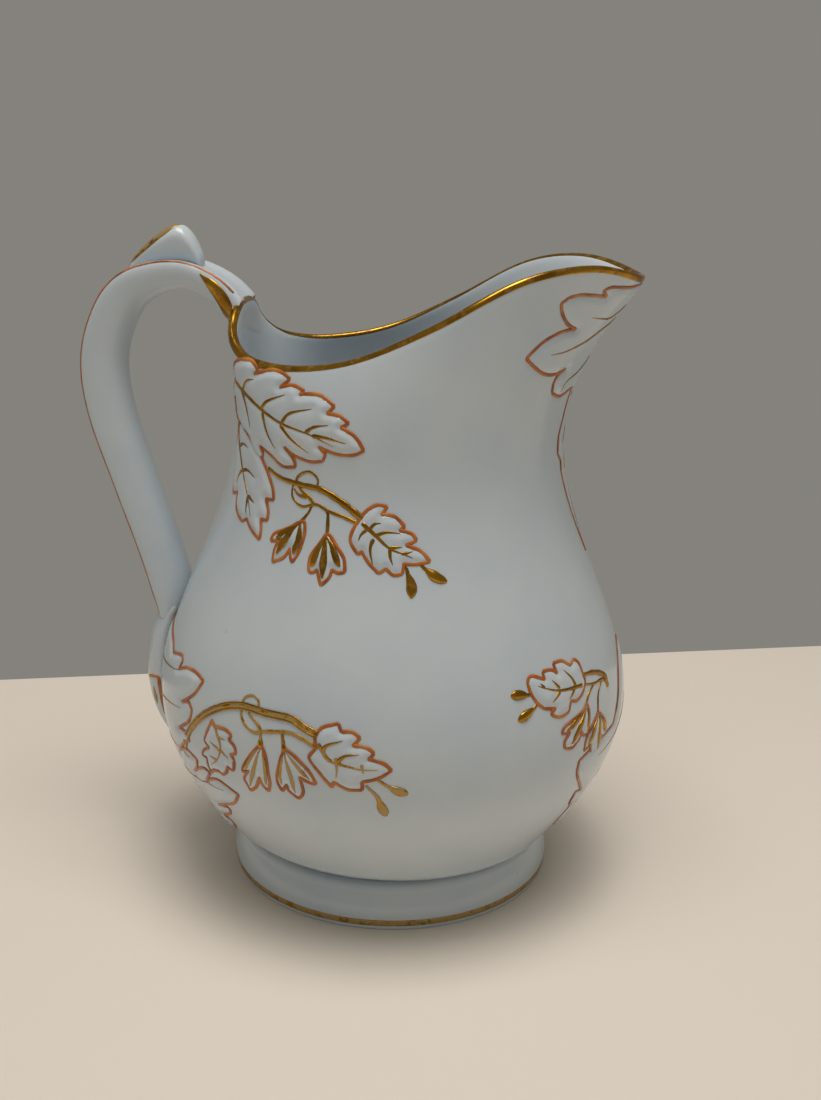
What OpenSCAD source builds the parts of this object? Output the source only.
// Relief-moulded porcelain jug: a round body, a pulled spout, a strap handle and
// leaf sprigs pressed on both sides. Millimetres, +Z up, +X towards the spout.
// The origin is the middle of the face that the foot ring stands on.

/* [Body] */
// Widest diameter of the belly
belly_d = 155; // [120:1:190]
// Height of the widest part of the belly
belly_z = 65; // [55:1:80]
// Diameter of the neck
neck_d = 105.6; // [88:0.1:127]
// Height of the narrowest part of the neck
neck_z = 150; // [125:1:160]
// Diameter where the belly meets the foot ring
base_d = 104; // [80:1:110]
// Thickness of the wall
wall = 3; // [2:0.1:4]
// Thickness of the floor
floor_t = 4; // [3:0.5:6]

/* [Rim and spout] */
// How far the tip of the lip reaches from the middle
spout_reach = 78; // [65:1:95]
// Height of the tip of the lip
lip_z = 202; // [190:1:215]
// Rise of the rim just behind the tip
lip_crest = 4.5; // [0:0.5:8]
// Height of the lowest part of the rim
rim_low_z = 176; // [168:1:185]
// Half the width of the mouth at its middle
mouth_half = 47.3; // [42:0.1:55]
// Height of the rim at the handle
back_z = 192; // [186:1:200]
// How far the back of the rim is from the middle
back_reach = 51; // [46:0.5:56]

/* [Handle] */
// How far the handle stands out beyond the widest part of the belly
handle_out = 25.5; // [18:0.5:34]
// Height of the top of the strap
handle_top_z = 204; // [198:1:215]
// Height at which the strap runs into the belly
handle_foot_z = 82; // [68:0.1:99]
// Width of the strap
strap_w = 19; // [14:0.5:24]
// Thickness of the strap at the grip
strap_t = 14.5; // [10:0.5:17]
// Thickness of the strap at its crest
strap_top_t = 10.6; // [8:0.2:14]
// Height of the thumb rest over the strap
thumb_h = 10.6; // [6:0.2:14]
// How far the pointed terminal stands proud of the belly
terminal_h = 8.5; // [5:0.5:11]

/* [Foot ring] */
// Outer diameter of the foot ring
foot_d = 109; // [90:1:120]
// Height of the foot ring
foot_h = 13; // [10:0.5:18]
// Thickness of the foot ring
foot_wall = 7.5; // [5:0.5:10]

/* [Relief and gilding] */
// Height of the leaves over the glaze
relief = 1.4; // [0.8:0.1:2.2]
// How deep the sprigs are bedded in the wall
bedding = 0.5; // [0.3:0.1:0.8]
// Thickness of the stems
stem_d = 1.8; // [1.2:0.1:2.6]
// Thickness of the gilt bands
gilt_t = 0.2; // [0.1:0.05:0.4]
// Depth of the gilt band on the rim
rim_band = 1.6; // [1:0.1:3]

/* [Hidden] */

belly_r = belly_d / 2;
neck_r = neck_d / 2;
base_r = base_d / 2;
foot_r = foot_d / 2;
base_z = foot_h;
floor_z = base_z + floor_t;
pull = spout_reach - neck_r;
lip_top_z = lip_z + lip_crest;
PORCELAIN = [0.80, 0.83, 0.85];
GILT = [0.80, 0.60, 0.20];

// The rim, half way round from the spout to the handle: angle, radius, height.
RIM = [
    [0, spout_reach, lip_z],
    [23, neck_r + 0.57 * pull, lip_top_z],
    [46, neck_r + 0.25 * pull, lip_top_z - 3],
    [73, (neck_r + mouth_half) / 2 + 1, (lip_top_z + rim_low_z) / 2 - 1.5],
    [100, mouth_half, rim_low_z + 3.5],
    [128, (mouth_half + back_reach) / 2, rim_low_z],
    [146, back_reach + 3, rim_low_z + 2],
    [157, back_reach + 4, (rim_low_z + back_z) / 2],
    [168, back_reach + 1.2, back_z - 1],
    [180, back_reach, back_z]];

// ---- Smooth curves through a few stations ----
function slope_at(tab, i, c) = (i == 0 || i == len(tab) - 1) ? 0 :
    (tab[i + 1][c] - tab[i - 1][c]) / (tab[i + 1][0] - tab[i - 1][0]);
function span_of(tab, a, i = 0) = (i >= len(tab) - 2 || a < tab[i + 1][0]) ? i : span_of(tab, a, i + 1);
function hermite(p, q, m, n, s) =
    p * (2 * s * s * s - 3 * s * s + 1) + m * (s * s * s - 2 * s * s + s) +
    q * (3 * s * s - 2 * s * s * s) + n * (s * s * s - s * s);
function through(tab, c, a) = let (i = span_of(tab, a), d = tab[i + 1][0] - tab[i][0],
    s = (a - tab[i][0]) / d)
    hermite(tab[i][c], tab[i + 1][c], d * slope_at(tab, i, c), d * slope_at(tab, i + 1, c), s);
function clamp(v, low, high) = min(max(v, low), high);
function ease(s) = s * s * (3 - 2 * s);

// ---- The outer surface of the body: its radius at an angle and a height ----
function fold(angle) = abs(angle - 360 * round(angle / 360));
function rim_r(angle) = through(RIM, 1, fold(angle));
function rim_z(angle) = through(RIM, 2, fold(angle));
function belly_at(z) = z < belly_z
    ? base_r + (belly_r - base_r) * sin(90 * clamp((z - base_z) / (belly_z - base_z), 0, 1))
    : belly_r - (belly_r - neck_r) * ease(clamp((z - belly_z) / (neck_z - belly_z), 0, 1));
function outer_r(angle, z) = z < neck_z ? belly_at(z) :
    neck_r + (rim_r(angle) - neck_r) * pow((z - neck_z) / (rim_z(angle) - neck_z), 2);
// How much the radius grows for each millimetre of height, and for each degree round.
function lean(angle, z) = (outer_r(angle, z) - outer_r(angle, z - 0.5)) / 0.5;
function swell(angle, z) = (outer_r(angle + 1, z) - outer_r(angle - 1, z)) / 2;
// The wall is thicker along the radius where it leans, up to this many times.
most_lean = 1.6;
function inner_r(angle, z) = outer_r(angle, z) - wall * min(sqrt(1 + pow(lean(angle, z), 2)), most_lean);
// The point at an angle and a height, off the glaze by a distance along its normal.
function place(angle, z, off = 0) = let (r = outer_r(angle, z), out = [cos(angle), sin(angle), 0],
    along = [-r * sin(angle), r * cos(angle), 0] + swell(angle, z) * 180 / PI * out,
    up = lean(angle, z) * out + [0, 0, 1],
    n = cross(along, up))
    r * out + [0, 0, z] + off * n / norm(n);

// ---- Closed skins from rows of points ----
// Every row has the same number of points and the rows run round a tube.
function tube_faces(rows, cols, closed) = concat(
    [for (i = [0 : rows - (closed ? 1 : 2)]) for (j = [0 : cols - 1])
        let (a = i * cols, b = (i + 1) % rows * cols, m = (j + 1) % cols)
        each [[a + j, b + j, b + m], [a + j, b + m, a + m]]],
    closed ? [] : [[for (j = [0 : cols - 1]) j], [for (j = [cols - 1 : -1 : 0]) (rows - 1) * cols + j]]);
module tube(rows, closed = false) {
    cols = len(rows[0]);
    polyhedron([for (row = rows) each row], tube_faces(len(rows), cols, closed), 10);
}

// ---- Paths and leaves laid on the body ----
// A path is a list of [angle, height]; mid is a point of it at share t.
function mid(path, t) = let (n = len(path) - 1, u = clamp(t, 0, 1) * n, i = min(floor(u), n - 1), s = u - i,
    p = path[i], q = path[i + 1],
    m = i == 0 ? q - p : (q - path[i - 1]) / 2, e = i == n - 1 ? q - p : (path[i + 2] - p) / 2)
    hermite(p, q, m, e, s);
function mm_per_degree(p) = outer_r(p[0], p[1]) * PI / 180;
function across(path, t) = let (p = mid(path, t), d = mid(path, t + 0.02) - mid(path, t - 0.02),
    k = mm_per_degree(p), v = [-d[1], d[0] * k], u = v / norm(v)) [u[0] / k, u[1]];
function beside(path, t, w) = mid(path, t) + w * across(path, t);
// A leaf: its stations are [share of the midrib, half width]. Its face is domed and dips along
// the midrib, and its back is bedded in the wall.
midrib_share = 0.75;
edge_share = 0.45;
function swelling(v) = v == 0 ? midrib_share : 1 - (1 - edge_share) * pow(abs(v), 3);
module leaf(path, stations, rise = relief, steps = 4) {
    face = [for (i = [0 : steps]) 1 - 2 * i / steps];
    back = [for (i = [steps : -2 : 0]) 1 - 2 * i / steps];
    tube([for (s = stations) concat(
        [for (v = face) let (p = beside(path, s[0], s[1] * v)) place(p[0], p[1], rise * swelling(v))],
        [for (v = back) let (p = beside(path, s[0], s[1] * v)) place(p[0], p[1], -bedding)])]);
}
// Stations of a leaf that is widest near its root, with a number of teeth on each side.
function taper(t) = sin(180 * pow(t, 0.72));
function toothed(teeth, width, notch = 0.66) = concat([[0, 0.6]],
    [for (i = [0 : teeth - 1]) let (a = (i + 0.62) / (teeth + 0.25), b = (i + 1) / (teeth + 0.25))
        each [[a, width * taper(a) + 0.8], [b, width * taper(b) * notch + 0.6]]], [[1, 0.3]]);
// Stations of a plain petal or bud.
function plain(width) = [for (t = [0, 0.2, 0.5, 0.8, 1]) [t, width * sin(180 * (0.08 + 0.84 * t))]];
module stem(path, d = stem_d) {
    turns = max(3, 3 * (len(path) - 1));
    tube([for (i = [0 : turns]) [for (a = [0 : 60 : 300])
        let (q = beside(path, i / turns, d / 2 * cos(a))) place(q[0], q[1], d / 2 * sin(a) + 0.1)]]);
}
module ring(centre, radius, d = stem_d * 0.8) {
    k = mm_per_degree(centre);
    tube([for (i = [0 : 15]) let (a = -i * 22.5)
        [for (b = [0 : 72 : 288]) let (q = radius + d / 2 * cos(b))
            place(centre[0] + q * cos(a) / k, centre[1] + q * sin(a), d / 2 * sin(b) + 0.1)]], true);
}
// A hanging flower: the path is where its stalk starts, where the flower starts, and its tip.
// Three petals part near the tip.
twig_d = stem_d * 0.7;
BELL = [[0, 0.28], [0.14, 0.42], [0.45, 0.62], [0.74, 1], [0.8, 0.42], [0.9, 0.34], [1, 0.05]];
module bell(path, spread) {
    stem([path[0], path[1]], twig_d);
    leaf([path[1], path[2]], [for (s = BELL) [s[0], s[1] * spread]], relief * 1.1);
}
// Sprigs are written for the left side, where side is 1; it is -1 on the right.
// Their heights are counted from z0, so a sprig moves with the neck or the belly.
function one(side, z0, p) = [side * p[0], z0 + p[1]];
function laid(side, z0, path) = [for (p = path) one(side, z0, p)];

// ---- The body, foot and handle ----
module body() {
    columns = 72;
    low = [for (i = [0 : 16]) base_z + (neck_z - base_z) * pow(i / 17, 0.9)];
    up = [for (i = [0 : 9]) i / 9];
    inside = [for (z = low) if (z > floor_z + 3) z];
    rows = concat(
        [for (z = low) [for (j = [1 : columns]) let (a = j * 360 / columns) place(a, z)]],
        [for (s = up) [for (j = [1 : columns]) let (a = j * 360 / columns)
            place(a, neck_z + s * (rim_z(a) - neck_z))]],
        [for (i = [len(up) - 1 : -1 : 0]) [for (j = [1 : columns]) let (a = j * 360 / columns,
            z = neck_z + up[i] * (rim_z(a) - neck_z), r = inner_r(a, z)) [r * cos(a), r * sin(a), z]]],
        [for (i = [len(inside) - 1 : -1 : 0]) [for (j = [1 : columns]) let (a = j * 360 / columns,
            z = inside[i], r = inner_r(a, z)) [r * cos(a), r * sin(a), z]]],
        [[for (j = [1 : columns]) let (a = j * 360 / columns, r = inner_r(a, floor_z + 1))
            [r * cos(a), r * sin(a), floor_z + 1]]],
        [[for (j = [1 : columns]) let (a = j * 360 / columns, r = inner_r(a, floor_z) - 2)
            [r * cos(a), r * sin(a), floor_z]]]);
    color(PORCELAIN) tube(rows);
}

// The ring flares from the crease under the belly to a rounded standing edge.
foot_bulge_z = 4.5;
rest_round = 1.5;
rest_outer = foot_r - 1;
rest_inner = foot_r - foot_wall + rest_round;
module foot_ring() {
    flare = [for (i = [0 : 6]) let (t = i / 6) [base_r + (foot_r - base_r) * sin(90 * t),
        base_z - (base_z - foot_bulge_z) * t]];
    turn = [for (a = [22.5 : 22.5 : 90])
        [rest_outer + (foot_r - rest_outer) * cos(a), foot_bulge_z * (1 - sin(a))]];
    color(PORCELAIN) rotate_extrude($fn = 144) polygon(concat(flare, turn,
        [[rest_inner, 0], [rest_inner - rest_round, rest_round], [base_r - foot_wall, base_z]]));
}

// The strap: x and height of its middle line, half thickness, half width.
crest_z = handle_top_z - strap_top_t / 2;
grip_x = belly_r + handle_out - strap_t / 2;
STRAP = [
    [-(back_reach - wall / 2), back_z - strap_top_t / 2 - 0.2, 0.96, 1.25],
    [-(back_reach + 7), back_z + 2.6, 0.98, 1.12],
    [-(back_reach + 20), crest_z, 1, 1.05],
    [-(grip_x - 8.5), crest_z - 6.2, 1.28, 1],
    [-grip_x, crest_z - 24, strap_t / strap_top_t, 0.96],
    [-(grip_x - 0.7), crest_z - 43, strap_t / strap_top_t, 0.94],
    [-(grip_x - 8), crest_z - 67, 1.3, 0.94],
    [-(grip_x - 16), crest_z - 91, 1.26, 0.96],
    [-(belly_at(handle_foot_z + 12) + 5.2), handle_foot_z + 12, 1.18, 1],
    [-(belly_at(handle_foot_z + 2) + 1.9), handle_foot_z + 2, 0.5, 1.02]];
// Section of the strap: a shallow channel outside, a rounded grip inside.
SECTION = [[-0.80, 0.92], [-0.4, 0.74], [0, 0.68], [0.4, 0.74], [0.80, 0.92], [0.97, 0.72], [1, 0.1],
    [0.86, -0.55], [0.5, -0.92], [0, -1], [-0.5, -0.92], [-0.86, -0.55], [-1, 0.1], [-0.97, 0.72]];
function strap_at(u) = mid(STRAP, u);
function strap_normal(u) = let (d = strap_at(u + 0.01) - strap_at(u - 0.01),
    v = u <= 0 ? [0, 1] : [d[1], -d[0]])
    v / norm(v);
module handle() {
    steps = 45;
    color(PORCELAIN) tube([for (i = [0 : steps]) let (u = i / steps, c = strap_at(u), n = strap_normal(u),
        t = c[2] * strap_top_t / 2, w = c[3] * strap_w / 2)
        [for (q = SECTION) [c[0] + n[0] * t * q[1], w * q[0], c[1] + n[1] * t * q[1]]]]);
}

// A small scroll on the crest of the strap, for the thumb.
module thumb_rest() {
    crest_x = -(back_reach + 20);
    knob_r = 5.8;
    top_z = handle_top_z + thumb_h - knob_r;
    color(PORCELAIN) hull() {
        translate([crest_x, 0, top_z]) scale(knob_r) sphere(1, $fn = 24);
        translate([crest_x + 4.5, 0, top_z - 5]) scale(knob_r * 0.8) sphere(1, $fn = 24);
        translate([crest_x - 15, 0, crest_z + 0.6]) scale(knob_r * 0.45) sphere(1, $fn = 24);
    }
}

// The pointed tongue under the handle: stations of share, half width and height.
TONGUE = [[0, 0.8, 0.5], [0.06, 0.95, 0.8], [0.2, 1, 0.92], [0.45, 1.02, 1], [0.65, 0.9, 1],
    [0.8, 0.62, 0.98], [0.9, 0.4, 0.9], [0.97, 0.2, 0.6], [1, 0.05, 0.15]];
tongue_half = strap_w / 2 + 0.5;
tongue_tip_z = handle_foot_z - 45;
module handle_terminal() {
    path = [[180, handle_foot_z + 7], [180, tongue_tip_z]];
    color(PORCELAIN) tube([for (s = TONGUE) let (w = tongue_half * s[1], h = terminal_h * s[2])
        [for (v = [[1, 0], [0.92, 0.5], [0.6, 0.86], [0, 1], [-0.6, 0.86], [-0.92, 0.5], [-1, 0]])
            let (p = beside(path, s[0], w * v[0])) place(p[0], p[1], h * v[1] - bedding)]]);
}

// ---- Leaves on the middle plane, both sides alike ----
// Their stations are [share of the way down, half width in degrees round the body].
module centred(angle, top, bottom, stations) {
    path = [[angle, top], [angle, bottom]];
    color(PORCELAIN) leaf(path, [for (s = stations)
        [s[0], s[1] * mm_per_degree([angle, top + (bottom - top) * s[0]])]], relief, 8);
}
spout_leaf_foot_z = lip_z - 39;
module back_leaf() centred(180, handle_foot_z + 4, base_z + 6, [[0, 23.5], [0.03, 34], [0.08, 32.5],
    [0.1, 45.5], [0.21, 37], [0.25, 42], [0.37, 35.5], [0.46, 43], [0.54, 38], [0.58, 54], [0.72, 41],
    [0.75, 47], [0.85, 36], [0.88, 42], [1, 8]]);
module spout_leaf() centred(0, lip_z - 4.5, spout_leaf_foot_z, [[0, 3], [0.015, 9.5], [0.045, 16],
    [0.09, 14.5], [0.1, 26.5], [0.2, 27], [0.33, 19.5], [0.38, 25], [0.57, 38], [0.68, 33.5], [0.71, 20],
    [0.85, 24.5], [0.91, 22], [1, 1]]);
module spout_drop_leaf() centred(0, spout_leaf_foot_z + 2, spout_leaf_foot_z - 53, [[0, 1.5], [0.14, 6.5],
    [0.28, 11], [0.35, 11], [0.4, 6.5], [0.47, 7.5], [0.57, 5], [0.61, 4.5], [0.81, 3.5], [1, 0.5]]);
module front_leaf() centred(0, belly_z + 18, base_z + 9, [[0, 1.5], [0.12, 8.5], [0.26, 11], [0.41, 33],
    [0.49, 27], [0.64, 30], [0.69, 24], [0.82, 22.5], [0.87, 18], [0.93, 22.5], [1, 6]]);

// ---- The gilding ----
module rim_gilding() {
    steps = 76;
    reach = 152;
    color(GILT) tube([for (i = [0 : steps]) let (a = reach - 2 * reach * i / steps, z = rim_z(a),
        r = outer_r(a, z), q = inner_r(a, z), low = z - rim_band, s = outer_r(a, low))
        [for (v = [[s + gilt_t, low], [r + gilt_t, z + gilt_t], [q, z + gilt_t], [q, z], [r, z], [s, low]])
            [v[0] * cos(a), v[0] * sin(a), v[1]]]]);
}
module foot_gilding() {
    low = 1.2;
    high = 3.4;
    r = foot_r + gilt_t;
    color(GILT) rotate_extrude($fn = 144)
        polygon([[foot_r - 1.2, low], [r - 0.25, low], [r, high], [foot_r - 1, high]]);
}

// ---- The sprigs, written for the left side ----
module upper_leaf(side) color(PORCELAIN)
    leaf(laid(side, neck_z, [[150, 17], [134, 10], [115, 6], [94, 2.5]]), toothed(5, 12));
module upper_hanging_leaf(side) color(PORCELAIN)
    leaf(laid(side, neck_z, [[151, 7], [147, -7], [137, -18], [128, -28]]), toothed(4, 8.5));
module upper_stem(side) color(GILT) {
    stem(laid(side, neck_z, [[131, -6], [123, -8.5], [115, -9.3], [107, -10], [100, -13], [94, -17]]));
    stem(laid(side, neck_z, [[116, -9], [118.5, -12], [116, -15], [111, -15.5], [104, -16], [98, -17.5],
        [93, -19.5]]));
    ring(one(side, neck_z, [112, -8.4]), 3.6);
}
module upper_bells(side) color(PORCELAIN) {
    bell(laid(side, neck_z, [[112, -15.5], [113.5, -19.5], [119.5, -32]]), 5.4);
    bell(laid(side, neck_z, [[105, -16], [104.2, -20.5], [103.6, -36]]), 5.2);
}
module upper_leaflet(side) color(PORCELAIN)
    leaf(laid(side, neck_z, [[94, -18], [87, -23.5], [80, -26.5], [73.6, -28.5]]), toothed(4, 8.5));
module upper_buds(side) color(GILT) {
    stem(laid(side, neck_z, [[84, -26], [80.5, -29], [78.8, -33]]), twig_d);
    stem(laid(side, neck_z, [[81, -28], [77.5, -29.5], [74, -31.4]]), twig_d);
    leaf(laid(side, neck_z, [[78.8, -31.5], [78.8, -39]]), plain(1.6));
    leaf(laid(side, neck_z, [[75, -30.8], [69.5, -34.4]]), plain(1.6));
}
module lower_stem(side) color(GILT) {
    stem(laid(side, belly_z, [[142, -9], [138, -1], [132, 6.6], [125.5, 11.7], [119, 14], [112.8, 14],
        [106.5, 13.9], [100, 10.4]]));
    stem(laid(side, belly_z, [[119, 14], [119.4, 10.9], [115.4, 7.6], [112, 8.8], [107, 9.8], [103, 8.6],
        [99, 6]]));
    ring(one(side, belly_z, [117, 15.1]), 2.8);
}
module lower_hanging_leaf(side) color(PORCELAIN) {
    stem(laid(side, belly_z, [[129.5, 8.5], [127, 4]]), twig_d);
    leaf(laid(side, belly_z, [[127.5, 5], [125.5, -4], [125, -12]]), toothed(3, 6.8));
}
module lower_bells(side) color(PORCELAIN) {
    bell(laid(side, belly_z, [[113.8, 8.2], [113.6, 3.5], [116.4, -12.5]]), 5);
    bell(laid(side, belly_z, [[108, 9.6], [107.4, 4.5], [104.2, -11.5]]), 5.6);
}
module lower_leaflet(side) color(PORCELAIN)
    leaf(laid(side, belly_z, [[101, 8], [95, 5], [89, 2.5], [83.5, 1.7]]), toothed(4, 8.5));
module lower_buds(side) color(GILT) {
    stem(laid(side, belly_z, [[91, 1], [87, -1.5], [83.5, -4]]), twig_d);
    stem(laid(side, belly_z, [[91, 0], [88, -4], [86.5, -9]]), twig_d);
    leaf(laid(side, belly_z, [[84, -3], [80, -6.5]]), plain(1.6));
    leaf(laid(side, belly_z, [[86.6, -7.5], [84.6, -14]]), plain(1.6));
}
module front_stem(side) color(GILT) {
    stem(laid(side, belly_z, [[17, 9], [21, 14], [28, 17.5], [36, 19]]));
    stem(laid(side, belly_z, [[21, 14], [20.5, 11], [24, 8.5]]));
}
module front_bells(side) color(PORCELAIN) {
    bell(laid(side, belly_z, [[31, 18], [32.8, 11], [40.2, -2.5]]), 5);
    bell(laid(side, belly_z, [[24, 8.5], [27, 5.5], [30, -9]]), 4.8);
}
module front_leaflet(side) color(PORCELAIN)
    leaf(laid(side, belly_z, [[34, 18], [40, 19.5], [46, 21], [51.5, 22.5]]), toothed(4, 7.5));
module front_buds(side) color(GILT) {
    stem(laid(side, belly_z, [[45, 19], [51, 19.3]]), twig_d);
    stem(laid(side, belly_z, [[44, 17], [50, 15]]), twig_d);
    leaf(laid(side, belly_z, [[50, 19], [55.7, 20.3]]), plain(1.6));
    leaf(laid(side, belly_z, [[49.2, 15.5], [54.6, 12.6]]), plain(1.6));
}

body();
foot_ring();
handle();
thumb_rest();
handle_terminal();
back_leaf();
spout_leaf();
spout_drop_leaf();
front_leaf();
rim_gilding();
foot_gilding();
for (side = [-1, 1]) {
    on = side < 0 ? "_right" : "_left";
    upper_leaf(side);
    upper_hanging_leaf(side);
    upper_stem(side);
    upper_bells(side);
    upper_leaflet(side);
    upper_buds(side);
    lower_stem(side);
    lower_hanging_leaf(side);
    lower_bells(side);
    lower_leaflet(side);
    lower_buds(side);
    front_stem(side);
    front_bells(side);
    front_leaflet(side);
    front_buds(side);
}
